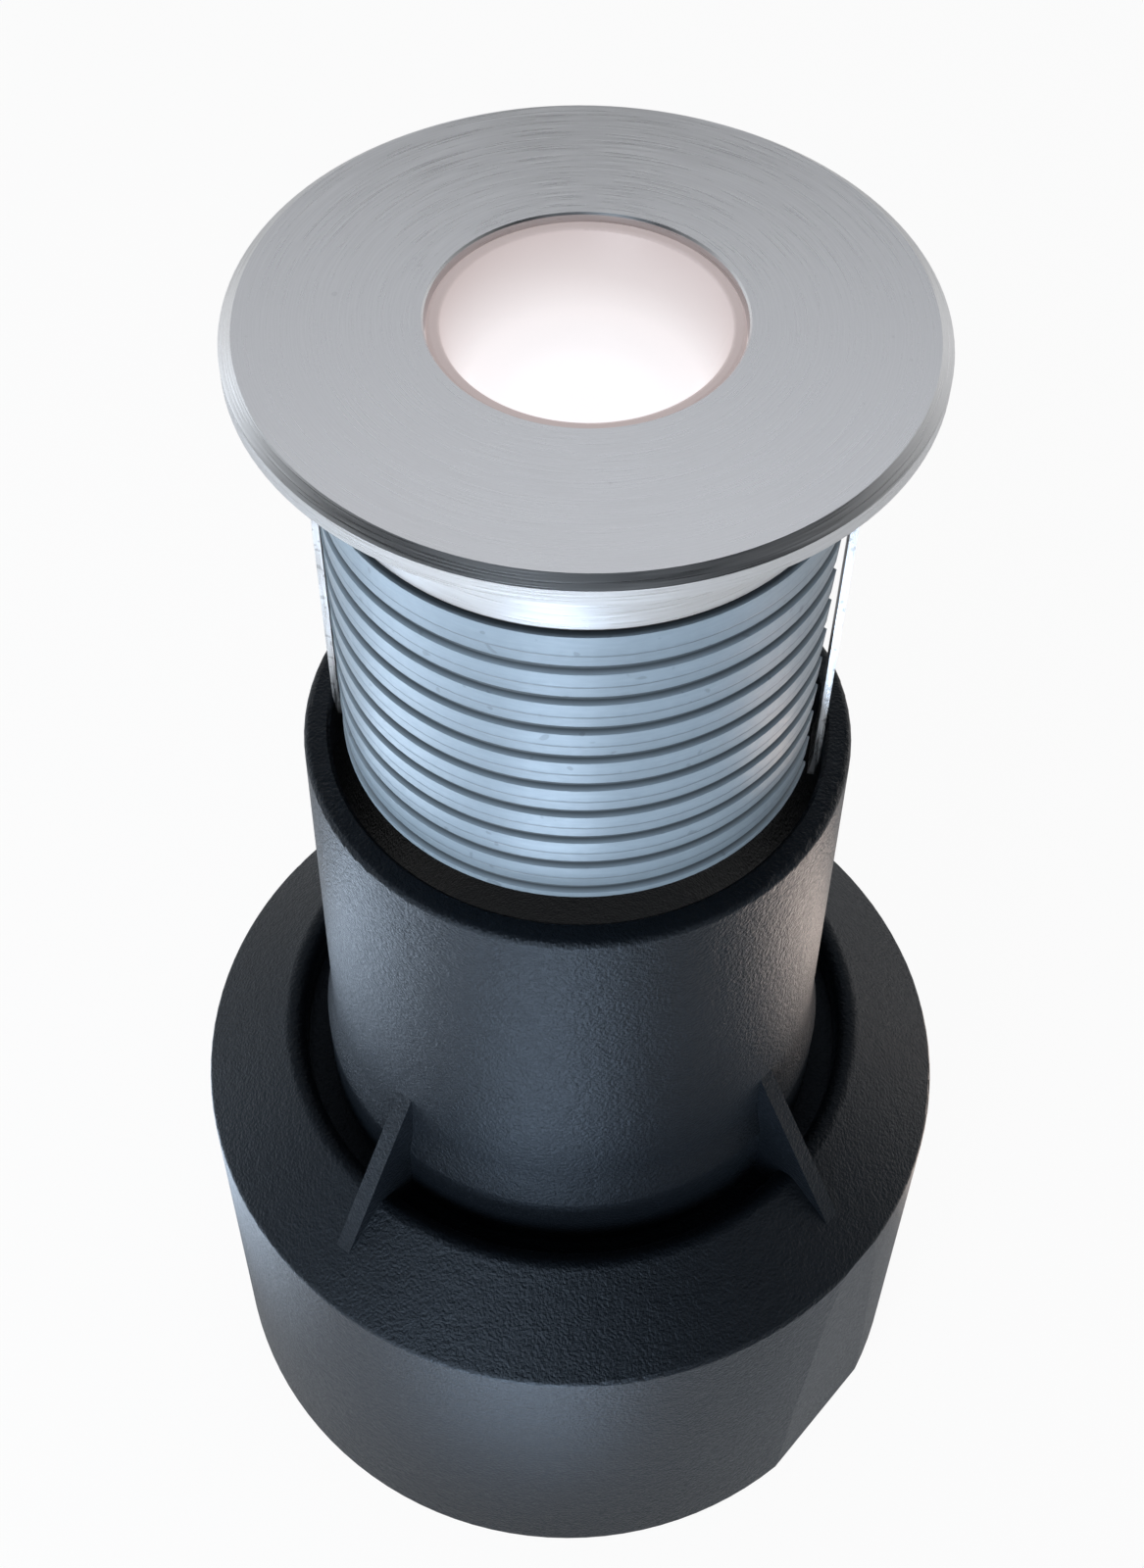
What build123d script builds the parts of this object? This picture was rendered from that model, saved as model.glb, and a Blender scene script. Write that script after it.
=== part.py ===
from build123d import *
import math
import os

# In ground well light, millimetres.
# Origin: centre of the sleeve's open bottom, +Z up, -Y towards the viewer.
# The light is shown drawn up out of its sleeve, with the spring tips in the mouth of the bore.

# ---------- driving dimensions ----------
# mounting sleeve (one black moulding, open at the bottom)
sleeve_height = 171.0        # rim to bottom edge
wall = 3.0                   # skirt, shoulder and moat wall
bore_clearance = 0.7         # between the springs and the bore at the rim
rim_wall = 4.0               # tube wall at the rim
foot_wall = 5.1              # tube wall just above the flared foot
bore_draft_deg = 0.6         # the bore opens this much downwards
rim_round = 1.2
mouth_chamfer = 0.6
lip_reach = 1.4              # the flare's sharp edge stands out this far from the tube
foot_lip_z = 95.2
foot_flare_r = 10.0
flare_rise = 7.0             # the flare starts this far above its sharp edge
moat_w = 4.5
moat_floor_z = 82.0
shoulder_inner_z = 91.0
shoulder_inner_round = 2.4
shoulder_outer_z = 75.6
shoulder_outer_round = 1.3
skirt_foot_r = 68.6          # outside at the bottom edge
skirt_draft = 1.2            # the skirt is this much smaller in radius at the shoulder
gusset_count = 4
gusset_angle = -40.0         # azimuth of the first gusset
gusset_t = 2.9
gusset_top_z = 111.5
gusset_margin = 7.2          # from the gusset's end to the shoulder's edge
flat_depth = 1.35            # break-out flats: depth at the bottom edge
knockout_r = 11.0
knockout_skin = 1.1
knockout_z = 24.0

# where the light sits in the photograph
draw_out = 73.7              # height of the ring's underside above the sleeve's rim

# trim ring and collar (turned stainless steel)
ring_overhang = 7.5          # the ring's edge beyond the sleeve's bore
ring_t = 3.35
hole_r = 20.0
ledge_w = 3.4                # ring over the cup's flange
bevel_width = 1.64
bevel_drop = 1.18
collar_wall = 11.3
collar_length = 15.5         # below the ring plate
hole_edge = 0.25

# ribbed housing (turned and painted aluminium)
collar_step = 0.6            # the housing is this much larger in radius than the collar
housing_length = 56.0
housing_bottom_chamfer = 1.6
housing_wall = 4.3
lamp_pocket_depth = 4.4      # pocket for the light board, from the top
web_t = 8.0                  # web between light board and driver space
groove_first = 6.1           # first groove's centre, below the housing's top
groove_end = 2.5             # least height left below the last groove's centre
groove_pitch = 5.82
groove_open = 1.5            # width at the surface
groove_root = 0.6
groove_depth = 0.75
land_taper = 0.22            # each land's lower end is this much smaller in radius
channel_play = 1.8           # between a spring's edge and its upright channel
channel_depth = 1.8
seal_gap = 0.85              # height of the seal between collar and housing
seal_in = 1.5                # from the collar's bore to the seal
seal_edge_in = 0.55          # from the collar's surface to the seal's corners
seal_bulge_in = 0.3          # and to the middle of its bulge

# leaf springs (stainless strip)
spring_angle = -8.0          # azimuth of the right spring; the other is opposite
spring_w = 9.0
spring_t = 1.0
spring_proud = 1.5           # outer face of the long leg beyond the housing
pad_recess = 0.8             # inner face of the pad below the collar's surface
spring_play = 0.15           # the pad rocks this much under its screw head
pad_side_play = 1.5          # between a spring's edge and the flat it is screwed to
spring_pad_h = 11.0
spring_joggle_h = 4.0
spring_tip_drop = 2.4        # the tip reaches this far below the housing
spring_tip_in = 0.5
spring_screw_r = 1.5
spring_head_r = 2.75
spring_head_h = 1.7
spring_screw_depth = 6.0

# diffuser cup (opal), gasket and mixing reflector
cup_recess = 0.9             # lip below the ring's face
cup_wall = 2.0
cup_depth = 15.0
cup_taper = 6.8              # the cup's floor is this much smaller in radius than the hole
cup_floor_round = 6.5
cup_lip_round = 0.54
cup_play = 0.25              # between lip and hole
bore_play = 0.4              # cup flange and light board in the collar's bore
cup_flange_t = 2.2
gasket_t = 1.2
gasket_lip = 0.6             # from the hole to the gasket's inner edge
reflector_t = 2.4
reflector_foot = 0.6         # the reflector is this much thicker on the board
reflector_step = 0.5

# light board
board_t = 1.6
pad_t = 0.5
emitter_size = 3.5
emitter_t = 0.9
emitter_count = 6
emitter_ring_r = 11.0
board_screw_count = 3
board_screw_inset = 6.0      # from the board's edge to its screws
board_screw_depth = 4.0
small_screw_r = 1.5
small_head_r = 2.6
small_head_h = 1.8

# ring screws
ring_screw_count = 4
head_play = 0.1              # ring screws' heads in the driver space
ring_screw_r = 2.0
ring_screw_into = 9.0        # length in the collar
ring_head_r = 2.7
ring_head_h = 2.6
clear = 0.25                 # play around a screw in a through hole
thread_gap = 0.02            # screw in its own thread

# driver space
driver_inset = 5.0           # from the cavity's wall to the driver board
driver_t = 1.6
component_h = 13.0           # inductor and capacitors above the board
terminal_h = 10.0            # terminal block below the board
terminal_l = 16.0
terminal_w = 9.0
terminal_extra_room = 0.4    # more room under the terminal block than over the components
locknut_play = 0.4           # between the terminal block and the locknut's corners
inductor_w = 14.0
inductor_window_w = 9.0
inductor_window_h = 8.0
coil_r = 3.9
can_r = 4.0
can_round = 0.8
standoff_r = 2.75
standoff_thread = 4.5        # stud into the web
standoff_screw_l = 5.0
standoff_inset = 4.4         # from the ring screws' circle to the standoffs
standoff_count = 3
standoff_angle = 82.0        # clear of the ring screws' heads

# bottom cover and gland
cover_t = 4.0
cover_inset = 0.6            # cover's face above the housing's bottom edge
cover_play = 0.15
cover_seat = 1.8             # width of the step the cover sits on
cover_seal_t = 1.4
cover_screw_count = 4
cover_screw_inset = 5.0      # from the cavity's wall to the cover's screws
boss_r = 4.0
boss_h = 9.0
cover_screw_l = 6.0          # thread beyond the seal
cover_head_t = 1.5
cover_head_in = 0.2          # head below the cover's face
gland_thread_r = 8.0
gland_flat = 20.0            # across flats
gland_hex_t = 4.5
gland_stub = 9.5             # threaded length below the hexagon
gland_nut_h = 15.0
gland_nut_lap = 6.0          # length of thread inside the nut
gland_cable_r = 3.5
gland_seal_r = 5.6
locknut_t = 4.0
locknut_extra = 1.0          # the locknut is this much wider across its flats
gland_thread_past = 1.5      # thread beyond the locknut
running = 0.3                # clearance between bodies that move

# ---------- radii that follow from them ----------
collar_bore_r = hole_r + ledge_w
collar_r = collar_bore_r + collar_wall
housing_r = collar_r + collar_step
cavity_r = housing_r - housing_wall
seat_r = cavity_r - cover_seat
channel_floor = housing_r - channel_depth
channel_w = spring_w + 2 * channel_play
spring_flat_w = spring_w + 2 * pad_side_play
spring_out = housing_r + spring_proud
spring_pad_in = collar_r - pad_recess
tube_bore_r = spring_out + bore_clearance
ring_r = tube_bore_r + ring_overhang
tube_rim_r = tube_bore_r + rim_wall
tube_foot_r = tube_bore_r + foot_wall
foot_lip_r = tube_foot_r + lip_reach
moat_outer_r = foot_lip_r + moat_w
shoulder_outer_r = skirt_foot_r - skirt_draft
gusset_end_r = shoulder_outer_r - gusset_margin
flat_distance = skirt_foot_r - flat_depth
cup_floor_r = hole_r - cup_taper
cup_flange_r = collar_bore_r - bore_play
gasket_inner_r = hole_r + gasket_lip
board_r = collar_bore_r - bore_play
board_screw_at = board_r - board_screw_inset
ring_screw_at = seat_r - ring_head_r - head_play
driver_r = cavity_r - driver_inset
standoff_at = ring_screw_at - standoff_inset
cover_screw_at = cavity_r - cover_screw_inset
locknut_corner_r = (gland_flat + locknut_extra) / 2 / math.cos(math.radians(30))
terminal_at = locknut_corner_r + locknut_play + terminal_w / 2
groove_count = int((housing_length - groove_first - groove_end) / groove_pitch) + 1

# ---------- heights that follow from them ----------
ring_under = sleeve_height + draw_out
ring_top = ring_under + ring_t
collar_end = ring_under - collar_length
housing_top = collar_end - seal_gap
housing_end = housing_top - housing_length
pocket_floor = housing_top - lamp_pocket_depth
web_under = pocket_floor - web_t
spring_flat = spring_pad_in - spring_play
cover_under = housing_end + cover_inset
cover_top = cover_under + cover_t
flange_top = ring_under - gasket_t
flange_under = flange_top - cup_flange_t
board_top = pocket_floor + pad_t + board_t
driver_room = web_under - cover_top - component_h - driver_t - terminal_h
standoff_h = component_h + (driver_room - terminal_extra_room) / 2
driver_top = web_under - standoff_h
spring_tip = housing_end - spring_tip_drop
spring_top = ring_under - 1.0
gland_hex_under = cover_under - gland_hex_t
gland_stub_end = gland_hex_under - gland_stub
nut_top = gland_stub_end + gland_nut_lap
nut_end = nut_top - gland_nut_h


# ---------- shared operations ----------
def turned(points, rounds=()):
    """Solid of revolution of an outline of (radius, height) points; rounds are (point, radius)."""
    face = make_face(Polyline(*points, close=True))
    for point, radius in rounds:
        corner = face.vertices().sort_by_distance(Vector(*point))[0]
        face = fillet(corner, radius)
    return revolve(Plane.XZ * face, Axis.Z)


def disc(r, low, high, hole=0.0):
    """Round plate between two heights, with an optional hole."""
    body = Pos(0, 0, (low + high) / 2) * Cylinder(r, high - low)
    if hole:
        body -= Pos(0, 0, (low + high) / 2) * Cylinder(hole, high - low + 2)
    return body


def upright(r, low, high, at, angle):
    """Upright pin or hole at a distance and azimuth from the axis."""
    return Rot(0, 0, angle) * Pos(at, 0, (low + high) / 2) * Cylinder(r, high - low)


def around(count, start=0.0):
    """Azimuths of equally spaced features."""
    return [start + 360.0 * i / count for i in range(count)]


def joined(parts):
    """Separate solids kept together as one group."""
    return Compound(children=list(parts))


def hexagon(flat, low, high):
    """Hexagonal prism between two heights."""
    return Pos(0, 0, low) * extrude(RegularPolygon(flat / 2, 6, major_radius=False), high - low)


# ---------- mounting sleeve ----------
def mounting_sleeve():
    slope = (shoulder_inner_z - shoulder_outer_z) / (shoulder_outer_r - moat_outer_r)
    drop = wall * math.hypot(1, slope)           # upright thickness of the conical wall
    low_bore_r = tube_bore_r + (sleeve_height - moat_floor_z) * math.tan(math.radians(bore_draft_deg))
    inner_moat_r = moat_outer_r + wall
    roof_z = shoulder_inner_z - slope * wall - drop
    skirt_in = shoulder_outer_r - wall
    skirt_roof_z = shoulder_outer_z + slope * wall - drop
    rim_edge = (tube_rim_r, sleeve_height)
    shoulder_in = (moat_outer_r, shoulder_inner_z)
    shoulder_out = (shoulder_outer_r, shoulder_outer_z)
    flare_start = (tube_foot_r, foot_lip_z + flare_rise)
    body = turned(
        [(tube_bore_r, sleeve_height - mouth_chamfer), (tube_bore_r + mouth_chamfer, sleeve_height),
         rim_edge, flare_start, (foot_lip_r, foot_lip_z),
         (foot_lip_r, moat_floor_z), (moat_outer_r, moat_floor_z), shoulder_in, shoulder_out,
         (skirt_foot_r, 0), (skirt_foot_r - wall, 0), (skirt_in, skirt_roof_z),
         (inner_moat_r, roof_z), (inner_moat_r, moat_floor_z - wall),
         (low_bore_r, moat_floor_z - wall)],
        [(rim_edge, rim_round), (flare_start, 2 * foot_flare_r),
         (shoulder_in, shoulder_inner_round), (shoulder_out, shoulder_outer_round)])
    in_tube = (tube_foot_r + low_bore_r) / 2
    in_moat = moat_outer_r + wall / 2
    end_z = shoulder_inner_z - slope * (gusset_end_r - moat_outer_r)
    rib_face = make_face(Polyline(
        (in_tube, gusset_top_z + 1), (tube_foot_r - 0.3, gusset_top_z), (gusset_end_r, end_z),
        (gusset_end_r, end_z - drop / 2), (in_moat, shoulder_inner_z - slope * wall / 2 - drop / 2),
        (in_moat, moat_floor_z - wall / 2), (in_tube, moat_floor_z - wall / 2), close=True))
    rib = extrude(Plane.XZ * rib_face, gusset_t / 2, both=True)
    for angle in around(gusset_count, gusset_angle):
        body += Rot(0, 0, angle) * rib
    for angle in (gusset_angle, gusset_angle + 180):
        slab = Pos(flat_distance + 5, 0, shoulder_outer_z / 2) * Box(10, 60, shoulder_outer_z + 2)
        body -= Rot(0, 0, angle) * slab
        reach = flat_distance - knockout_skin
        recess = Pos(reach - 3, 0, knockout_z) * Rot(0, 90, 0) * Cylinder(knockout_r, 6)
        body -= Rot(0, 0, angle) * recess
    return body


# ---------- trim ring and what it holds ----------
def trim_ring():
    body = turned(
        [(hole_r, ring_top), (ring_r - bevel_width, ring_top), (ring_r, ring_top - bevel_drop),
         (ring_r, ring_under), (collar_r, ring_under), (collar_r, collar_end),
         (collar_bore_r, collar_end), (collar_bore_r, ring_under), (hole_r, ring_under)])
    for angle in around(ring_screw_count, spring_angle + 45):
        body -= upright(ring_screw_r + thread_gap, collar_end - 1, collar_end + ring_screw_into,
                        ring_screw_at, angle)
    for angle in (spring_angle, spring_angle + 180):
        flat = Pos(spring_flat + 5, 0, (collar_end + ring_under) / 2)
        flat *= Box(10, spring_flat_w, collar_length + 0.002)
        hole = Pos(spring_flat - spring_screw_depth / 2, 0, spring_screw_z())
        hole *= Rot(0, 90, 0) * Cylinder(spring_screw_r + thread_gap, spring_screw_depth + 0.4)
        body -= Rot(0, 0, angle) * flat
        body -= Rot(0, 0, angle) * hole
    edge = body.edges().filter_by(GeomType.CIRCLE).sort_by_distance((hole_r, 0, ring_top))[0]
    return chamfer(edge, hole_edge)


def spring_screw_z():
    return spring_top - spring_pad_h / 2


def diffuser_cup():
    lip_top = ring_top - cup_recess
    lip_r = hole_r - cup_play
    floor_top = lip_top - cup_depth
    inner_top = (lip_r - cup_wall * 0.8, lip_top)
    inner_floor = (cup_floor_r, floor_top)
    outer_floor_r = cup_floor_r + cup_wall * 0.7
    floor_cut = cup_floor_round * 0.6            # the hidden outer corner is cut, not rounded
    outer_side = (lip_r - 0.6, flange_under)
    return turned(
        [inner_top, (lip_r, lip_top), (lip_r, flange_top), (cup_flange_r, flange_top),
         (cup_flange_r, flange_under), outer_side, (outer_floor_r, floor_top - cup_wall + floor_cut),
         (outer_floor_r - floor_cut, floor_top - cup_wall), (0, floor_top - cup_wall),
         (0, floor_top), inner_floor],
        [(inner_floor, cup_floor_round), ((lip_r, lip_top), cup_lip_round),
         (inner_top, cup_lip_round)])


def diffuser_gasket():
    return disc(cup_flange_r, flange_top, ring_under, gasket_inner_r)


def mixing_reflector():
    outer = cup_flange_r
    top_in = outer - reflector_t
    low_in = board_r - reflector_t - reflector_foot
    return turned([(top_in, flange_under), (outer, flange_under), (outer, housing_top + reflector_step),
                   (board_r, board_top), (low_in, board_top)])


def collar_seal():
    edge_r = collar_r - seal_edge_in
    return turned([(collar_bore_r + seal_in, housing_top), (edge_r, housing_top),
                   (collar_r - seal_bulge_in, housing_top + seal_gap / 2), (edge_r, collar_end),
                   (collar_bore_r + seal_in, collar_end)]) - joined(
        upright(ring_screw_r + clear, housing_top - 1, collar_end + 1, ring_screw_at, angle)
        for angle in around(ring_screw_count, spring_angle + 45)) - joined(
        Rot(0, 0, angle) * Pos(spring_flat + 5, 0, housing_top) * Box(10, spring_flat_w, 4)
        for angle in (spring_angle, spring_angle + 180))


# ---------- ribbed housing ----------
def groove_outline():
    """Outer wall from top to bottom: tapered lands and grooves."""
    points = [(housing_r, housing_top)]
    half = groove_open / 2
    for i in range(groove_count):
        middle = housing_top - groove_first - i * groove_pitch
        points += [(housing_r - land_taper, middle + half),
                   (housing_r - groove_depth, middle + groove_root / 2),
                   (housing_r - groove_depth, middle - groove_root / 2),
                   (housing_r, middle - half)]
    return points


def ribbed_housing():
    foot = [(housing_r, housing_end + housing_bottom_chamfer),
            (housing_r - housing_bottom_chamfer, housing_end)]
    seat_z = cover_top + cover_seal_t
    inner = [(cavity_r, housing_end), (cavity_r, seat_z), (seat_r, seat_z), (seat_r, web_under),
             (0, web_under), (0, pocket_floor), (collar_bore_r, pocket_floor),
             (collar_bore_r, housing_top)]
    body = turned(groove_outline() + foot + inner)
    for angle in (spring_angle, spring_angle + 180):
        slot = Pos(channel_floor + 5, 0, (housing_top + housing_end) / 2)
        body -= Rot(0, 0, angle) * slot * Box(10, channel_w, housing_length + 2)
    for angle in around(ring_screw_count, spring_angle + 45):
        body -= upright(ring_screw_r + clear, web_under - 1, housing_top + 1, ring_screw_at, angle)
    for angle in around(board_screw_count, 90):
        body -= upright(small_screw_r + thread_gap, pocket_floor - board_screw_depth - 0.4, pocket_floor + 1,
                        board_screw_at, angle)
    for angle in around(standoff_count, standoff_angle):
        body -= upright(small_screw_r + thread_gap, web_under - 1, web_under + 5,
                        standoff_at, angle)
    for angle in around(cover_screw_count, spring_angle + 45):
        boss = upright(boss_r, seat_z, seat_z + boss_h, cover_screw_at, angle)
        body += boss
        body -= upright(small_screw_r + thread_gap, seat_z - 1, seat_z + 7, cover_screw_at, angle)
    return body


# ---------- light board ----------
def thermal_pad():
    body = disc(board_r - 1, pocket_floor, pocket_floor + pad_t)
    for angle in around(board_screw_count, 90):
        body -= upright(small_screw_r + clear, pocket_floor - 1, board_top, board_screw_at, angle)
    return body


def led_board():
    body = disc(board_r, board_top - board_t, board_top)
    for angle in around(board_screw_count, 90):
        body -= upright(small_screw_r + clear, pocket_floor, board_top + 1, board_screw_at, angle)
    return body


def led_emitters():
    block = Pos(0, 0, board_top + emitter_t / 2) * Box(emitter_size, emitter_size, emitter_t)
    shifted = [Rot(0, 0, a) * Pos(emitter_ring_r, 0, 0) * block for a in around(emitter_count)]
    return joined([block] + shifted)


def board_screws():
    return joined(
        upright(small_screw_r, pocket_floor - board_screw_depth, board_top, board_screw_at, angle)
        + upright(small_head_r, board_top, board_top + small_head_h, board_screw_at, angle)
        for angle in around(board_screw_count, 90))


def ring_screws():
    return joined(
        upright(ring_screw_r, web_under, collar_end + ring_screw_into - 0.5, ring_screw_at, angle)
        + upright(ring_head_r, web_under - ring_head_h, web_under, ring_screw_at, angle)
        for angle in around(ring_screw_count, spring_angle + 45))


# ---------- driver ----------
def driver_board():
    body = disc(driver_r, driver_top - driver_t, driver_top)
    for angle in around(standoff_count, standoff_angle):
        body -= upright(small_screw_r + clear, driver_top - 3, driver_top + 1, standoff_at, angle)
    return body


def driver_standoffs():
    post = hexagon(2 * standoff_r, driver_top, web_under) - disc(
        small_screw_r + thread_gap, driver_top - 1, driver_top + 6)
    post += disc(small_screw_r, web_under, web_under + standoff_thread)
    return joined(Rot(0, 0, angle) * Pos(standoff_at, 0, 0) * post
                  for angle in around(standoff_count, standoff_angle))


def standoff_screws():
    under = driver_top - driver_t
    return joined(
        upright(small_screw_r, under, driver_top + standoff_screw_l, standoff_at, angle)
        + upright(small_head_r, under - small_head_h, under, standoff_at, angle)
        for angle in around(standoff_count, standoff_angle))


def driver_inductor():
    centre = Pos(-inductor_w * 0.43, inductor_w * 0.21, driver_top + component_h / 2)
    core = centre * Box(inductor_w, inductor_w, component_h)
    window = centre * Box(inductor_w + 2, inductor_window_w, inductor_window_h)
    coil = centre * Rot(90, 0, 0) * Cylinder(coil_r, inductor_window_w - 0.2)
    return core - window + coil


def driver_capacitors():
    can = disc(can_r, driver_top, driver_top + component_h)
    can = fillet(can.faces().sort_by(Axis.Z)[-1].edges(), can_round)
    return joined(Pos(2 * can_r, y, 0) * can for y in (1.5 * can_r, -1.25 * can_r))


def terminal_block():
    high = driver_top - driver_t
    block = Pos(-4, -terminal_at, high - terminal_h / 2) * Box(terminal_l, terminal_w, terminal_h)
    for i in range(3):
        pole = Pos(-9 + 5 * i, -terminal_at, 0)
        block -= pole * Pos(0, 0, high - terminal_h) * Cylinder(1.6, 5)
        block -= pole * Pos(0, -4, high - 4) * Box(3, 3, 3.4)
    return block


# ---------- bottom cover ----------
def bottom_cover():
    body = disc(cavity_r - cover_play, cover_under, cover_top, gland_thread_r + 0.15)
    for angle in around(cover_screw_count, spring_angle + 45):
        body -= upright(small_screw_r + clear, cover_under - 1, cover_top + 1, cover_screw_at, angle)
        sink = Rot(0, 0, angle) * Pos(cover_screw_at, 0, cover_under + 0.8)
        body -= sink * Cylinder(spring_head_r + 0.3, 1.8)
    return body


def cover_seal():
    return disc(cavity_r - cover_play, cover_top, cover_top + cover_seal_t, seat_r + 0.2)


def cover_screws():
    head_top = cover_under + cover_head_in + cover_head_t
    return joined(
        upright(small_screw_r, head_top, cover_top + cover_seal_t + cover_screw_l, cover_screw_at, angle)
        + upright(spring_head_r, cover_under + cover_head_in, head_top, cover_screw_at, angle)
        for angle in around(cover_screw_count, spring_angle + 45))


# ---------- cable gland ----------
def gland_body():
    body = hexagon(gland_flat, gland_hex_under, cover_under)
    body += disc(gland_thread_r, cover_under, cover_top + locknut_t + gland_thread_past)
    body += disc(gland_thread_r - 0.4, gland_stub_end, gland_hex_under)
    body -= disc(gland_cable_r + 0.5, gland_stub_end - 1, cover_top + locknut_t + 3)
    return body - disc(gland_seal_r + 0.05, gland_stub_end - 1, gland_stub_end + 4)


def gland_locknut():
    return hexagon(gland_flat + locknut_extra, cover_top, cover_top + locknut_t) - disc(
        gland_thread_r + thread_gap, cover_top - 1, cover_top + locknut_t + 1)


def gland_seal():
    return disc(gland_seal_r, nut_end + 3.5, gland_stub_end + 4, gland_cable_r)


def gland_nut():
    thread_r = gland_thread_r - 0.4 + running
    nut = hexagon(gland_flat, nut_end + 4, nut_top) + turned(
        [(0, nut_end), (gland_flat / 2 - 3, nut_end), (gland_flat / 2, nut_end + 4.5),
         (gland_flat / 2, nut_end + 6), (0, nut_end + 6)])
    nut -= disc(thread_r, gland_stub_end - running, nut_top + 1)
    nut -= disc(gland_seal_r + running, nut_end + 3.2, gland_stub_end)
    return nut - disc(gland_cable_r, nut_end - 1, nut_end + 5)


# ---------- leaf springs ----------
def leaf_spring(angle):
    pad_in = spring_pad_in
    leg_in = spring_out - spring_t
    pad_low = spring_top - spring_pad_h
    leg_top = pad_low - spring_joggle_h
    bend_z = spring_tip + 4
    strip = make_face(Polyline(
        (pad_in, spring_top), (pad_in + spring_t, spring_top), (pad_in + spring_t, pad_low),
        (spring_out, leg_top), (spring_out, bend_z), (spring_out - spring_tip_in, spring_tip),
        (leg_in - spring_tip_in, spring_tip), (leg_in, bend_z), (leg_in, leg_top),
        (pad_in, pad_low), close=True))
    body = extrude(Plane.XZ * strip, spring_w / 2, both=True)
    hole = Pos(pad_in, 0, spring_screw_z()) * Rot(0, 90, 0) * Cylinder(spring_screw_r + clear, 6)
    return Rot(0, 0, angle) * (body - hole)


def spring_screws():
    head_in = spring_pad_in + spring_t + spring_play
    shank = Pos(head_in - spring_screw_depth / 2, 0, spring_screw_z()) * Rot(0, 90, 0)
    shank *= Cylinder(spring_screw_r, spring_screw_depth)
    head = Pos(head_in + spring_head_h / 2, 0, spring_screw_z()) * Rot(0, 90, 0)
    head *= Cylinder(spring_head_r, spring_head_h)
    return joined(Rot(0, 0, a) * (shank + head) for a in (spring_angle, spring_angle + 180))


nodes = {
    "mounting_sleeve": mounting_sleeve,
    "trim_ring": trim_ring,
    "diffuser_cup": diffuser_cup,
    "diffuser_gasket": diffuser_gasket,
    "mixing_reflector": mixing_reflector,
    "collar_seal": collar_seal,
    "ribbed_housing": ribbed_housing,
    "thermal_pad": thermal_pad,
    "led_board": led_board,
    "led_emitters": led_emitters,
    "board_screws": board_screws,
    "ring_screws": ring_screws,
    "driver_board": driver_board,
    "driver_standoffs": driver_standoffs,
    "standoff_screws": standoff_screws,
    "driver_inductor": driver_inductor,
    "driver_capacitors": driver_capacitors,
    "terminal_block": terminal_block,
    "bottom_cover": bottom_cover,
    "cover_seal": cover_seal,
    "cover_screws": cover_screws,
    "gland_body": gland_body,
    "gland_locknut": gland_locknut,
    "gland_seal": gland_seal,
    "gland_nut": gland_nut,
    "leaf_spring_right": lambda: leaf_spring(spring_angle),
    "leaf_spring_left": lambda: leaf_spring(spring_angle + 180),
    "spring_screws": spring_screws,
}

os.makedirs("parts", exist_ok=True)
for name, make in nodes.items():
    export_step(make(), "parts/" + name + ".step")
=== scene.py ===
import math

import bpy
from mathutils import Matrix, Vector


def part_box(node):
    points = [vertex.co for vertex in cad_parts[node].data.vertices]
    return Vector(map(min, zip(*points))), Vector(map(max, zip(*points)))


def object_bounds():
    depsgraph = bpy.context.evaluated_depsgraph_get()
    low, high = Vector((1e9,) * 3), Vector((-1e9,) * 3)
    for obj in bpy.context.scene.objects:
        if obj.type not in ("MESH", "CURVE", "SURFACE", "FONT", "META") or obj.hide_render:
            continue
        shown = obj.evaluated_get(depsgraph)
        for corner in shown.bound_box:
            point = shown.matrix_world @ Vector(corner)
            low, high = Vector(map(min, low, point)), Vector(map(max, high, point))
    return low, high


bl_info = {
    "name": "In ground well light",
    "version": (1, 0, 0),
    "blender": (4, 5, 0),
    "location": "3D View > Sidebar > Well light",
    "description": "Finishes and stage for a small in ground well light with its mounting sleeve",
    "category": "Object",
}

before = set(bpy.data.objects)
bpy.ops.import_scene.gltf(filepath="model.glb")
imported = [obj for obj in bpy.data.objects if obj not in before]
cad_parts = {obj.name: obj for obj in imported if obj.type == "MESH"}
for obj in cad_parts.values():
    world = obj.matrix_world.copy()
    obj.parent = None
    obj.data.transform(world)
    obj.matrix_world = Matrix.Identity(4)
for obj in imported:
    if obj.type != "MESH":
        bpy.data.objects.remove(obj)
cad_low, cad_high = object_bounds()

MM = 0.001
cup_low, cup_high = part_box("diffuser_cup")
housing_low, housing_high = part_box("ribbed_housing")

# Most of a noise texture's values lie between these.
NOISE_LOW, NOISE_HIGH = 0.3, 0.7
# A Mix node's sockets for colours: three inputs, then its output.
SHARE, FIRST, SECOND, MIXED = 0, 6, 7, 2


# ---------- colours ----------
def linear(code):
    """An sRGB hex colour as linear RGBA."""
    parts = [int(code[i:i + 2], 16) / 255 for i in (1, 3, 5)]
    parts = [c / 12.92 if c <= 0.04045 else ((c + 0.055) / 1.055) ** 2.4 for c in parts]
    return (*parts, 1.0)


def shade(colour, factor):
    """A colour made lighter or darker by a factor."""
    return (*(min(1.0, c * factor) for c in colour[:3]), 1.0)


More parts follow.
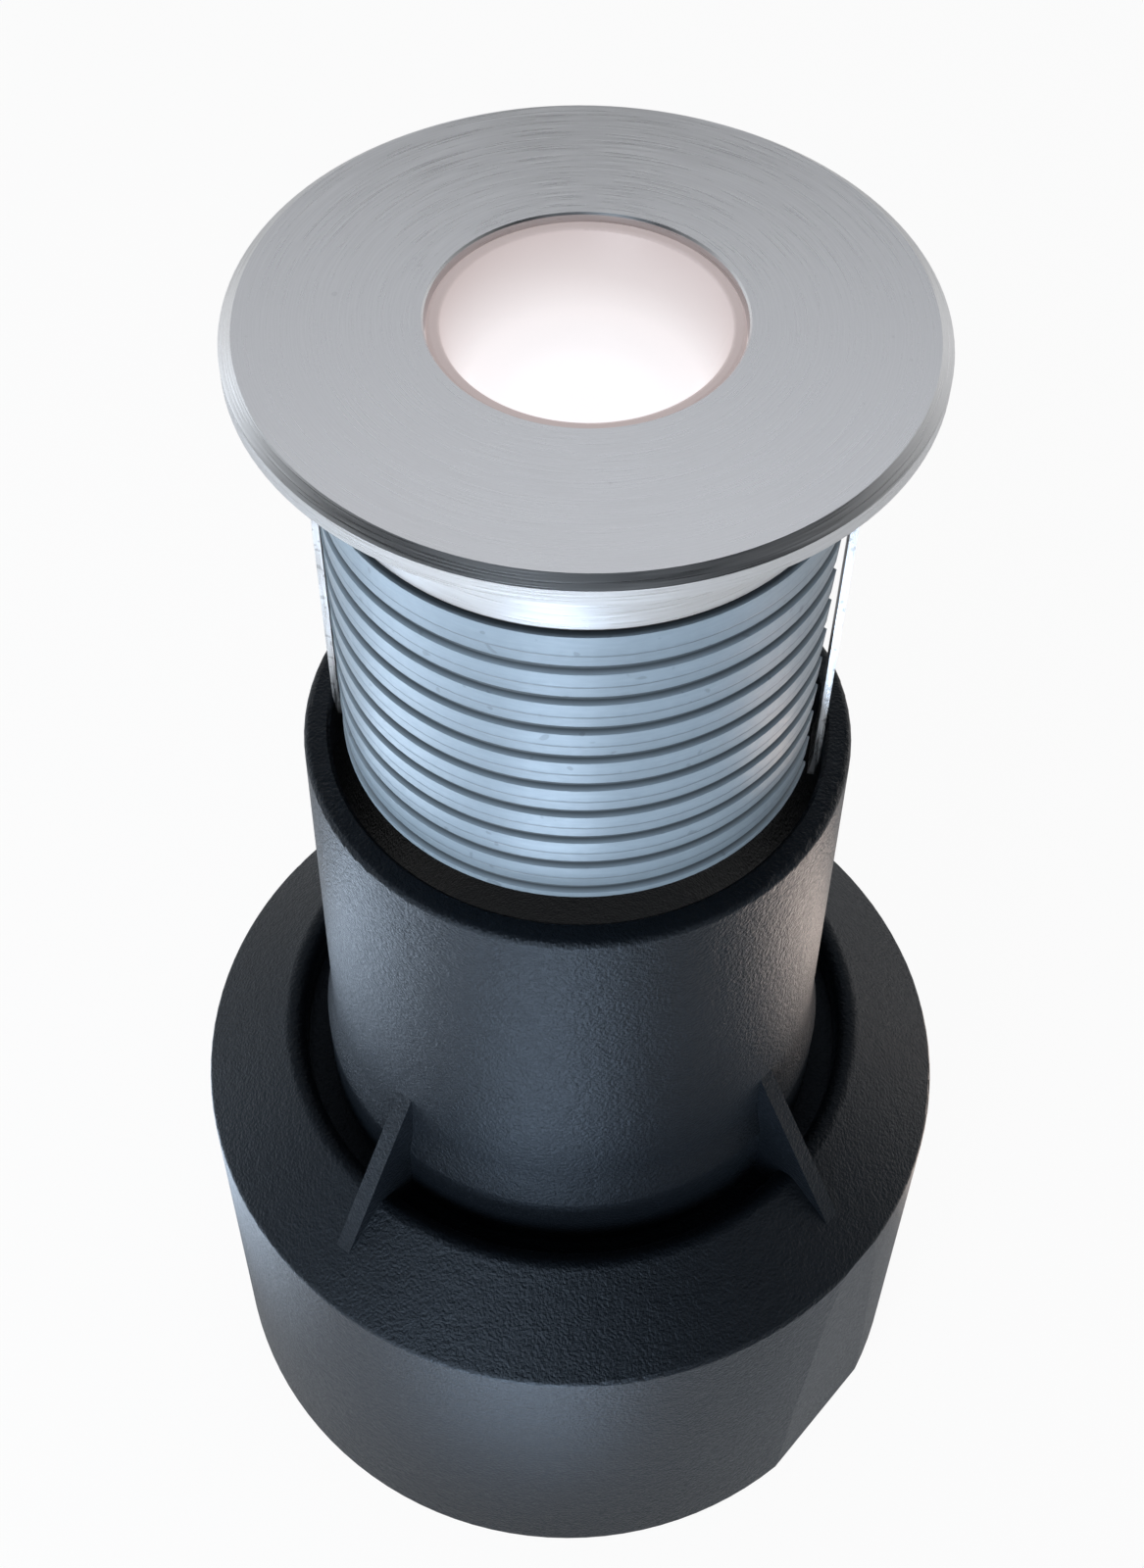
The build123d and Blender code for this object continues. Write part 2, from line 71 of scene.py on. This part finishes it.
# ---------- settings ----------
class StageSettings(bpy.types.PropertyGroup):
    """The camera and the floor."""
    lens: bpy.props.FloatProperty(
        name="Lens", description="Focal length on a 36 mm sensor", default=47.478)
    pitch: bpy.props.FloatProperty(
        name="Pitch", description="Camera's tilt below the horizon",
        default=math.radians(52.318), subtype="ANGLE")
    roll: bpy.props.FloatProperty(
        name="Roll", description="Camera's turn about its own axis",
        default=math.radians(1.0865), subtype="ANGLE")
    place: bpy.props.FloatVectorProperty(
        name="Place", description="Camera's place", size=3, subtype="XYZ", unit="LENGTH",
        default=(-0.71 * MM, -200.01 * MM, 413.1 * MM))
    floor_colour: bpy.props.FloatVectorProperty(
        name="Floor", description="Colour of the floor", size=4, subtype="COLOR",
        min=0, max=1, default=linear("#F4F4F4"))


class FinishSettings(bpy.types.PropertyGroup):
    """Colours and patterns of the main finishes."""
    sleeve_colour: bpy.props.FloatVectorProperty(
        name="Sleeve", description="Colour of the moulded sleeve", size=4, subtype="COLOR",
        min=0, max=1, default=linear("#0A0E13"))
    spark_grain: bpy.props.FloatProperty(
        name="Spark grain", description="Grain of the mould's spark eroded finish",
        default=0.55 * MM, unit="LENGTH", precision=6)
    paint_colour: bpy.props.FloatVectorProperty(
        name="Housing", description="Colour of the housing's paint", size=4, subtype="COLOR",
        min=0, max=1, default=linear("#7D8C98"))
    steel_colour: bpy.props.FloatVectorProperty(
        name="Steel", description="Colour of the stainless steel", size=4, subtype="COLOR",
        min=0, max=1, default=linear("#DADBDD"))
    housing_r: bpy.props.FloatProperty(
        name="Housing radius", description="Radius over the housing's lands",
        default=(housing_high.y - housing_low.y) / 2, unit="LENGTH", precision=6)
    first_groove: bpy.props.FloatProperty(
        name="First groove", description="Height of the top groove's middle",
        default=housing_high.z - 6.1 * MM, unit="LENGTH", precision=6)
    groove_pitch: bpy.props.FloatProperty(
        name="Groove pitch", description="Distance between grooves",
        default=5.82 * MM, unit="LENGTH", precision=6)
    turning_pitch: bpy.props.FloatProperty(
        name="Turning marks", description="Distance between the lathe's marks on the ring",
        default=0.28 * MM, unit="LENGTH", precision=6)


# ---------- materials ----------
def add(tree, kind, inputs=None, **settings):
    """Adds a node with its settings. An input is a value, an output, or a node for its first output."""
    node = tree.nodes.new(kind)
    for name, value in settings.items():
        setattr(node, name, value)
    for name, value in (inputs or {}).items():
        if isinstance(value, bpy.types.Node):
            value = value.outputs[0]
        if isinstance(value, bpy.types.NodeSocket):
            tree.links.new(value, node.inputs[name])
        else:
            node.inputs[name].default_value = value
    return node


def start(name):
    """A material with an empty node tree."""
    material = bpy.data.materials.new(name)
    material.use_nodes = True
    material.node_tree.nodes.clear()
    return material, material.node_tree


def round_the_axis(tree):
    """For each point: its arm out from the axis, that arm's length, and its height."""
    where = add(tree, "ShaderNodeTexCoord").outputs["Object"]
    parts = add(tree, "ShaderNodeSeparateXYZ", {"Vector": where}).outputs
    arm = add(tree, "ShaderNodeCombineXYZ", {"X": parts["X"], "Y": parts["Y"]})
    radius = add(tree, "ShaderNodeVectorMath", {0: arm}, operation="LENGTH").outputs["Value"]
    return arm, radius, parts["Z"]


def lathe_marks(tree, pitch, breaks):
    """Marks that run round the axis, as a lathe tool leaves them, on flat and upright faces alike.
    The more breaks, the shorter they are."""
    arm, radius, height = round_the_axis(tree)
    along = add(tree, "ShaderNodeMath", {0: radius, 1: height}, operation="SUBTRACT")
    step = add(tree, "ShaderNodeMath", {0: along, 1: 1 / pitch}, operation="MULTIPLY")
    turn = add(tree, "ShaderNodeVectorMath", {0: arm}, operation="NORMALIZE")
    turn = add(tree, "ShaderNodeVectorMath", {0: turn, "Scale": breaks}, operation="SCALE")
    turn = add(tree, "ShaderNodeSeparateXYZ", {"Vector": turn}).outputs
    where = add(tree, "ShaderNodeCombineXYZ", {"X": step, "Y": turn["X"], "Z": turn["Y"]})
    return add(tree, "ShaderNodeTexNoise", {"Vector": where, "Scale": 1.0, "Detail": 3.0})


def moulded_polypropylene(look):
    """Black polypropylene from a spark eroded mould: a soft bluish sheen, broken up by fine grain.
    Real grain, of about 0.1 mm, is too fine to show, so it is drawn several times as coarse."""
    material, tree = start("moulded_polypropylene")
    wave, patch = 4 * look.spark_grain, 16 * MM
    where = add(tree, "ShaderNodeTexCoord").outputs["Object"]
    fine = add(tree, "ShaderNodeTexNoise", {
        "Vector": where, "Scale": 1 / look.spark_grain, "Detail": 3.0, "Roughness": 0.62})
    coarse = add(tree, "ShaderNodeTexNoise", {"Vector": where, "Scale": 1 / wave})
    broad = add(tree, "ShaderNodeTexNoise", {"Vector": where, "Scale": 1 / patch})
    colour = add(tree, "ShaderNodeMix", {
        SHARE: broad, FIRST: shade(look.sleeve_colour, 0.75), SECOND: shade(look.sleeve_colour, 1.25)},
        data_type="RGBA").outputs[MIXED]
    matt = add(tree, "ShaderNodeMapRange", {
        "Value": fine, "From Min": NOISE_LOW, "From Max": NOISE_HIGH, "To Min": 0.28, "To Max": 0.46})
    waves = add(tree, "ShaderNodeBump", {"Height": coarse, "Distance": 0.16 * MM})
    pits = add(tree, "ShaderNodeBump", {"Height": fine, "Distance": 0.24 * MM, "Normal": waves})
    shader = add(tree, "ShaderNodeBsdfPrincipled", {
        "Base Color": colour, "Roughness": matt, "IOR": 1.49, "Specular IOR Level": 0.22,
        "Specular Tint": linear("#CFE0F2"), "Sheen Weight": 0.03, "Sheen Roughness": 0.35,
        "Sheen Tint": linear("#B9D0E8"), "Normal": pits})
    add(tree, "ShaderNodeOutputMaterial", {"Surface": shader})
    return material


def turned_stainless(look):
    """Stainless steel turned on a lathe: long fine arcs that smear each reflection round the axis.
    Real marks, of about 0.1 mm, are too fine to show, so they are drawn nearly three times as coarse."""
    material, tree = start("turned_stainless")
    stain_size = 2.0 * MM
    where = add(tree, "ShaderNodeTexCoord").outputs["Object"]
    marks = lathe_marks(tree, look.turning_pitch, breaks=3.0)
    colour = add(tree, "ShaderNodeMix", {
        SHARE: marks, FIRST: shade(look.steel_colour, 0.78), SECOND: shade(look.steel_colour, 1.10)},
        data_type="RGBA").outputs[MIXED]
    spots = add(tree, "ShaderNodeTexNoise", {"Vector": where, "Scale": 1 / stain_size, "Detail": 0.0})
    stain = add(tree, "ShaderNodeMapRange", {
        "Value": spots, "From Min": 0.86, "From Max": 0.90, "To Min": 0.0, "To Max": 0.25})
    colour = add(tree, "ShaderNodeMix", {
        SHARE: stain, FIRST: colour, SECOND: shade(look.steel_colour, 0.55)},
        data_type="RGBA").outputs[MIXED]
    matt = add(tree, "ShaderNodeMapRange", {
        "Value": marks, "From Min": NOISE_LOW, "From Max": NOISE_HIGH, "To Min": 0.24, "To Max": 0.40})
    cut = add(tree, "ShaderNodeBump", {"Height": marks, "Distance": 0.014 * MM})
    around = add(tree, "ShaderNodeTangent", direction_type="RADIAL", axis="Z")
    shader = add(tree, "ShaderNodeBsdfPrincipled", {
        "Base Color": colour, "Metallic": 1.0, "Roughness": matt, "Anisotropic": 0.55,
        "Tangent": around, "Normal": cut})
    add(tree, "ShaderNodeOutputMaterial", {"Surface": shader})
    return material


def rolled_stainless(look):
    """Cold rolled stainless strip and screw stock: bright, with faint long scratches and pits, which
    are drawn coarser than real ones so that they show."""
    material, tree = start("rolled_stainless")
    scratch_gap, pit_size, stretch = 0.5 * MM, 0.9 * MM, 0.06
    where = add(tree, "ShaderNodeTexCoord").outputs["Object"]
    drawn = add(tree, "ShaderNodeMapping", {"Vector": where, "Scale": (1.0, 1.0, stretch)})
    lines = add(tree, "ShaderNodeTexNoise", {"Vector": drawn, "Scale": 1 / scratch_gap})
    pits = add(tree, "ShaderNodeTexNoise", {"Vector": where, "Scale": 1 / pit_size, "Detail": 0.0})
    pit = add(tree, "ShaderNodeMapRange", {"Value": pits, "From Min": 0.66, "From Max": 0.74})
    colour = add(tree, "ShaderNodeMix", {
        SHARE: pit, FIRST: look.steel_colour, SECOND: shade(look.steel_colour, 0.7)},
        data_type="RGBA").outputs[MIXED]
    matt = add(tree, "ShaderNodeMapRange", {
        "Value": lines, "From Min": NOISE_LOW, "From Max": NOISE_HIGH, "To Min": 0.2, "To Max": 0.38})
    cut = add(tree, "ShaderNodeBump", {"Height": lines, "Distance": 0.02 * MM})
    shader = add(tree, "ShaderNodeBsdfPrincipled", {
        "Base Color": colour, "Metallic": 1.0, "Roughness": matt, "Normal": cut})
    add(tree, "ShaderNodeOutputMaterial", {"Surface": shader})
    return material


def powder_coat(look):
    """Satin powder coat on turned aluminium: darker in the grooves (thinner paint and painted shade) and
    near black in the spring channels (painted shade), with the scored line that the tool leaves a little
    over half way down each land. The tool's other marks are drawn coarser than real ones, so that they
    show."""
    material, tree = start("satin_powder_coat")
    # Depths below the lands over which the colour darkens: painted shade in the grooves and in the spring
    # channels.
    groove_shade_depths = 0.62 * MM, 0.08 * MM
    channel_shade_depths = 1.2 * MM, 1.0 * MM
    line_place, line_core, line_edge = 0.56, 0.008, 0.026    # shares of the groove pitch
    marks_pitch, peel_size, chip_size = 0.5 * MM, 1.1 * MM, 1.7 * MM
    where = add(tree, "ShaderNodeTexCoord").outputs["Object"]
    _, radius, height = round_the_axis(tree)
    groove, channel_shade = (add(tree, "ShaderNodeMapRange", {
        "Value": radius, "From Min": look.housing_r - deep, "From Max": look.housing_r - shallow,
        "To Min": 1.0, "To Max": 0.0}) for deep, shallow in (groove_shade_depths, channel_shade_depths))
    below = add(tree, "ShaderNodeMath", {0: look.first_groove, 1: height}, operation="SUBTRACT")
    turns = add(tree, "ShaderNodeMath", {0: below, 1: look.groove_pitch}, operation="DIVIDE")
    part = add(tree, "ShaderNodeMath", {0: turns}, operation="FRACT")
    off = add(tree, "ShaderNodeMath", {0: part, 1: line_place}, operation="SUBTRACT")
    off = add(tree, "ShaderNodeMath", {0: off}, operation="ABSOLUTE")
    scored = add(tree, "ShaderNodeMapRange", {
        "Value": off, "From Min": line_core, "From Max": line_edge, "To Min": 0.5, "To Max": 0.0})
    marks = lathe_marks(tree, marks_pitch, breaks=9.0)
    peel = add(tree, "ShaderNodeTexNoise", {"Vector": where, "Scale": 1 / peel_size})
    spots = add(tree, "ShaderNodeTexNoise", {"Vector": where, "Scale": 1 / chip_size, "Detail": 0.0})
    chip = add(tree, "ShaderNodeMapRange", {
        "Value": spots, "From Min": 0.79, "From Max": 0.83, "To Min": 0.0, "To Max": 0.45})
    colour = add(tree, "ShaderNodeMix", {
        SHARE: marks, FIRST: shade(look.paint_colour, 0.88), SECOND: shade(look.paint_colour, 1.10)},
        data_type="RGBA").outputs[MIXED]
    # The groove and channel masks paint shade into the colour, the groove partly as thinner paint; chips
    # and scored lines are marks.
    for share, dark in ((chip, 0.45), (scored, 0.35), (groove, 0.30), (channel_shade, 0.03)):
        colour = add(tree, "ShaderNodeMix", {
            SHARE: share, FIRST: colour, SECOND: shade(look.paint_colour, dark)},
            data_type="RGBA").outputs[MIXED]
    matt = add(tree, "ShaderNodeMapRange", {
        "Value": peel, "From Min": NOISE_LOW, "From Max": NOISE_HIGH, "To Min": 0.33, "To Max": 0.43})
    cut = add(tree, "ShaderNodeBump", {"Height": marks, "Distance": 0.016 * MM})
    line = add(tree, "ShaderNodeBump", {
        "Height": scored, "Distance": 0.12 * MM, "Normal": cut}, invert=True)
    skin = add(tree, "ShaderNodeBump", {"Height": peel, "Distance": 0.012 * MM, "Normal": line})
    shader = add(tree, "ShaderNodeBsdfPrincipled", {
        "Base Color": colour, "Roughness": matt, "IOR": 1.5, "Normal": skin})
    add(tree, "ShaderNodeOutputMaterial", {"Surface": shader})
    return material


def lit_opal():
    """Opal polycarbonate with a painted glow: the floor is painted glowing white and the wall fades to a
    pinkish grey towards the lip.
    """
    material, tree = start("lit_opal_polycarbonate")
    glowing_floor = 2.5 * MM
    where = add(tree, "ShaderNodeTexCoord").outputs["Object"]
    height = add(tree, "ShaderNodeSeparateXYZ", {"Vector": where}).outputs["Z"]
    rise = add(tree, "ShaderNodeMapRange", {
        "Value": height, "From Min": cup_low.z + glowing_floor, "From Max": cup_high.z})
    # Painted light: the cup's emission is brightest at its floor and fades with height.
    painted_glow = add(tree, "ShaderNodeMix", {
        SHARE: rise, FIRST: linear("#FFFDFF"), SECOND: linear("#A89895")},
        data_type="RGBA").outputs[MIXED]
    shader = add(tree, "ShaderNodeBsdfPrincipled", {
        "Base Color": linear("#A39E9F"), "Roughness": 0.4, "IOR": 1.58,
        "Emission Color": painted_glow, "Emission Strength": 0.82})
    add(tree, "ShaderNodeOutputMaterial", {"Surface": shader})
    return material


def plain(name, code, roughness, metallic=0.0):
    """A small part's finish: its colour, roughness and slight relief vary over 0.8 mm, which is drawn
    coarser than a real grain so that it shows."""
    material, tree = start(name)
    grain, spread = 0.8 * MM, 0.05
    where = add(tree, "ShaderNodeTexCoord").outputs["Object"]
    fine = add(tree, "ShaderNodeTexNoise", {"Vector": where, "Scale": 1 / grain})
    colour = add(tree, "ShaderNodeMix", {
        SHARE: fine, FIRST: shade(linear(code), 0.86), SECOND: shade(linear(code), 1.12)},
        data_type="RGBA").outputs[MIXED]
    matt = add(tree, "ShaderNodeMapRange", {
        "Value": fine, "From Min": NOISE_LOW, "From Max": NOISE_HIGH,
        "To Min": roughness - spread, "To Max": roughness + spread})
    skin = add(tree, "ShaderNodeBump", {"Height": fine, "Distance": 0.01 * MM})
    shader = add(tree, "ShaderNodeBsdfPrincipled", {
        "Base Color": colour, "Metallic": metallic, "Roughness": matt, "Normal": skin})
    add(tree, "ShaderNodeOutputMaterial", {"Surface": shader})
    return material


def studio_paper(stage):
    """Pale paper, white to the eye, that keeps a soft shadow and is clear from below. Mirrors and
    glass see less of the white, so that the object's shadow shows in them too."""
    material, tree = start("studio_paper")
    seen_white, mirrored_white = 0.94, 0.3
    rays = add(tree, "ShaderNodeLightPath").outputs
    mirrored = add(tree, "ShaderNodeMath", {0: rays["Is Glossy Ray"], 1: rays["Is Transmission Ray"]},
                   operation="MAXIMUM")
    mirrored = add(tree, "ShaderNodeMath", {0: mirrored, 1: mirrored_white}, operation="MULTIPLY")
    share = add(tree, "ShaderNodeMath", {0: rays["Is Camera Ray"], 1: seen_white}, operation="MULTIPLY")
    share = add(tree, "ShaderNodeMath", {0: share, 1: mirrored}, operation="MAXIMUM")
    paper = add(tree, "ShaderNodeBsdfDiffuse", {"Color": tuple(stage.floor_colour)})
    white = add(tree, "ShaderNodeEmission", {"Color": (1, 1, 1, 1), "Strength": 1.0})
    top = add(tree, "ShaderNodeMixShader", {0: share, 1: paper, 2: white})
    under = add(tree, "ShaderNodeNewGeometry").outputs["Backfacing"]
    clear = add(tree, "ShaderNodeBsdfTransparent")
    both = add(tree, "ShaderNodeMixShader", {0: under, 1: top, 2: clear})
    add(tree, "ShaderNodeOutputMaterial", {"Surface": both})
    return material


# ---------- the stage ----------
def studio_world(scene):
    """Pale near the horizon and darker overhead, as a studio with an unlit ceiling."""
    world = bpy.data.worlds.new("studio")
    world.use_nodes = True
    tree = world.node_tree
    tree.nodes.clear()
    where = add(tree, "ShaderNodeTexCoord").outputs["Generated"]
    height = add(tree, "ShaderNodeSeparateXYZ", {"Vector": where}).outputs["Z"]
    rise = add(tree, "ShaderNodeMapRange", {"Value": height, "From Min": 0.15, "From Max": 0.65})
    sky = add(tree, "ShaderNodeMix", {
        SHARE: rise, FIRST: linear("#FFFFFF"), SECOND: linear("#2C2E31")},
        data_type="RGBA").outputs[MIXED]
    back = add(tree, "ShaderNodeBackground", {"Color": sky, "Strength": 1.0})
    add(tree, "ShaderNodeOutputWorld", {"Surface": back})
    scene.world = world


def softbox(scene, name, size, place, facing, power, code):
    """A square lamp that shines the way it faces and is out of the camera's sight."""
    lamp = bpy.data.lights.new(name, "AREA")
    lamp.size = size
    lamp.energy = power
    lamp.color = linear(code)[:3]
    holder = bpy.data.objects.new(name, lamp)
    holder.location = place
    holder.rotation_euler = facing.to_track_quat("-Z", "Y").to_euler()
    holder.visible_camera = False
    scene.collection.objects.link(holder)


def camera(scene, stage):
    """The photograph's camera. It looks along +Y and down by the pitch, and is then rolled."""
    view = bpy.data.cameras.new("camera")
    view.lens = stage.lens
    view.sensor_width = 36.0
    view.clip_start = 0.01
    ahead = Vector((0, math.cos(stage.pitch), -math.sin(stage.pitch)))
    up = Vector((0, math.sin(stage.pitch), math.cos(stage.pitch)))
    side = Vector((1, 0, 0))
    turned_side = math.cos(stage.roll) * side + math.sin(stage.roll) * up
    turned_up = -math.sin(stage.roll) * side + math.cos(stage.roll) * up
    holder = bpy.data.objects.new("camera", view)
    axes = Matrix((turned_side, turned_up, -ahead)).transposed()
    holder.matrix_world = Matrix.Translation(Vector(stage.place)) @ axes.to_4x4()
    scene.collection.objects.link(holder)
    scene.camera = holder


# ---------- finishes on the CAD nodes ----------
def broken_edges(name, width):
    """The small round that moulding or deburring leaves on a piece's sharp edges."""
    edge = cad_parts[name].modifiers.new("broken_edges", "BEVEL")
    edge.width = width
    edge.segments = 2
    edge.limit_method = "ANGLE"
    edge.angle_limit = math.radians(32)
    edge.harden_normals = True


def finish(material, slot, *names):
    """Gives CAD nodes their material. The slot is not used."""
    for name in names:
        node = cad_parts[name]
        node.data.materials.clear()
        node.data.materials.append(material)


# ---------- operators ----------
class WELL_OT_stage(bpy.types.Operator):
    """Makes the floor, the lamps, the world and the camera"""
    bl_idname = "well.stage"
    bl_label = "Stage"

    def execute(self, context):
        scene = context.scene
        bpy.ops.mesh.primitive_plane_add(size=8.0, location=(0, 0, 0))
        floor = context.object
        floor.name = "floor"
        floor.data.materials.append(studio_paper(scene.well_stage))
        studio_world(scene)
        # Each lamp's name, width, place, power in watts and colour. The softboxes face the object.
        middle = Vector((0, 0, (cad_low.z + cad_high.z) / 2))
        for name, size, place, power, code in (
                ("back_softbox", 0.8, (0.0, 0.48, 1.06), 1.75, "#F8FAFF"),
                ("left_softbox", 0.4, (-0.54, 0.12, 0.24), 0.7, "#E4EEF8"),
                ("front_softbox", 0.32, (-0.25, -0.56, 0.20), 3.8, "#E4EEF8"),
                ("camera_softbox", 0.3, (-0.20, -0.62, 0.92), 0.35, "#DCEAF8"),
                ("right_softbox", 0.3, (0.60, 0.26, 0.09), 0.8, "#FFF2E8")):
            softbox(scene, name, size, Vector(place), middle - Vector(place), power, code)
        # The panels lie just over the floor and face up. From the photograph's angle, upright faces
        # mirror this part of the floor, so the panels give the sleeve its sheens.
        for name, size, place, power, code in (
                ("left_panel", 0.12, (-0.150, -0.01, 0.005), 0.19, "#C8DCF2"),
                ("front_panel", 0.09, (-0.028, -0.152, 0.005), 0.25, "#C2D9F2"),
                ("right_panel", 0.07, (0.130, 0.03, 0.005), 0.06, "#FFE9DA")):
            softbox(scene, name, size, Vector(place), Vector((0, 0, 1)), power, code)
        camera(scene, scene.well_stage)
        scene.view_settings.view_transform = "Standard"
        return {"FINISHED"}


class WELL_OT_sleeve(bpy.types.Operator):
    """Finishes the moulded mounting sleeve"""
    bl_idname = "well.sleeve"
    bl_label = "Mounting sleeve"

    def execute(self, context):
        finish(moulded_polypropylene(context.scene.well_finish), "sleeve_plastic", "mounting_sleeve")
        broken_edges("mounting_sleeve", width=0.35 * MM)
        return {"FINISHED"}


class WELL_OT_ring(bpy.types.Operator):
    """Finishes the trim ring"""
    bl_idname = "well.ring"
    bl_label = "Trim ring"

    def execute(self, context):
        finish(turned_stainless(context.scene.well_finish), "stainless", "trim_ring")
        return {"FINISHED"}


class WELL_OT_housing(bpy.types.Operator):
    """Finishes the ribbed housing and its bottom cover"""
    bl_idname = "well.housing"
    bl_label = "Housing"

    def execute(self, context):
        finish(powder_coat(context.scene.well_finish), "painted_aluminium", "ribbed_housing")
        finish(plain("turned_aluminium", "#9AA0A6", 0.4, metallic=1.0), "cover_aluminium", "bottom_cover")
        return {"FINISHED"}


class WELL_OT_diffuser(bpy.types.Operator):
    """Finishes the lit cup, what clamps it, and the pad behind the light board"""
    bl_idname = "well.diffuser"
    bl_label = "Diffuser"

    def execute(self, context):
        finish(lit_opal(), "opal", "diffuser_cup")
        finish(plain("clear_silicone", "#C9C9C4", 0.5), "silicone", "diffuser_gasket", "thermal_pad")
        finish(plain("white_polycarbonate", "#ECEBE6", 0.5), "white_plastic", "mixing_reflector")
        return {"FINISHED"}


class WELL_OT_springs(bpy.types.Operator):
    """Finishes the leaf springs and their screws"""
    bl_idname = "well.springs"
    bl_label = "Leaf springs"

    def execute(self, context):
        strip = rolled_stainless(context.scene.well_finish)
        finish(strip, "spring_steel", "leaf_spring_right", "leaf_spring_left")
        finish(strip, "screw_steel", "spring_screws")
        return {"FINISHED"}


class WELL_OT_fasteners(bpy.types.Operator):
    """Finishes screws, standoffs and seals"""
    bl_idname = "well.fasteners"
    bl_label = "Fasteners and seals"

    def execute(self, context):
        screw = plain("screw_stainless", "#A9AAAB", 0.32, metallic=1.0)
        finish(screw, "screw_steel", "board_screws", "ring_screws", "standoff_screws", "cover_screws")
        finish(plain("turned_brass", "#B8914C", 0.3, metallic=1.0), "brass", "driver_standoffs")
        rubber = plain("epdm_rubber", "#101112", 0.6)
        finish(rubber, "seal_rubber", "collar_seal", "cover_seal", "gland_seal")
        return {"FINISHED"}


class WELL_OT_gland(bpy.types.Operator):
    """Finishes the cable gland"""
    bl_idname = "well.gland"
    bl_label = "Cable gland"

    def execute(self, context):
        plated = plain("nickel_plated_brass", "#B9B5AC", 0.24, metallic=1.0)
        finish(plated, "nickel_brass", "gland_body", "gland_locknut", "gland_nut")
        return {"FINISHED"}


class WELL_OT_electrics(bpy.types.Operator):
    """Finishes the light board and the driver inside the housing"""
    bl_idname = "well.electrics"
    bl_label = "Light board and driver"

    def execute(self, context):
        finish(plain("white_solder_mask", "#D6D8D4", 0.45), "board", "led_board", "driver_board")
        finish(plain("phosphor_under_silicone", "#E3C45A", 0.3), "emitter", "led_emitters")
        finish(plain("wound_ferrite", "#2A2723", 0.6), "ferrite", "driver_inductor")
        finish(plain("drawn_can", "#9FA3A8", 0.35, metallic=1.0), "can_aluminium", "driver_capacitors")
        finish(plain("terminal_polyamide", "#3E5B46", 0.5), "terminal_plastic", "terminal_block")
        return {"FINISHED"}


class WELL_PT_panel(bpy.types.Panel):
    """The well light's pieces, finishes and stage"""
    bl_idname = "WELL_PT_panel"
    bl_label = "Well light"
    bl_space_type = "VIEW_3D"
    bl_region_type = "UI"
    bl_category = "Well light"

    def draw(self, context):
        for operator in operators:
            self.layout.operator(operator.bl_idname)
        for group in (context.scene.well_stage, context.scene.well_finish):
            for name in group.bl_rna.properties.keys():
                if name not in ("rna_type", "name"):
                    self.layout.prop(group, name)


operators = (WELL_OT_stage, WELL_OT_sleeve, WELL_OT_ring, WELL_OT_housing, WELL_OT_diffuser,
             WELL_OT_springs, WELL_OT_fasteners, WELL_OT_gland, WELL_OT_electrics)
classes = (StageSettings, FinishSettings) + operators + (WELL_PT_panel,)


def register():
    for item in classes:
        bpy.utils.register_class(item)
    bpy.types.Scene.well_stage = bpy.props.PointerProperty(type=StageSettings)
    bpy.types.Scene.well_finish = bpy.props.PointerProperty(type=FinishSettings)


def unregister():
    del bpy.types.Scene.well_stage
    del bpy.types.Scene.well_finish
    for item in reversed(classes):
        bpy.utils.unregister_class(item)


def main():
    register()
    bpy.ops.well.stage()
    bpy.ops.well.sleeve()
    bpy.ops.well.ring()
    bpy.ops.well.housing()
    bpy.ops.well.diffuser()
    bpy.ops.well.springs()
    bpy.ops.well.fasteners()
    bpy.ops.well.gland()
    bpy.ops.well.electrics()


if __name__ == "__main__":
    main()
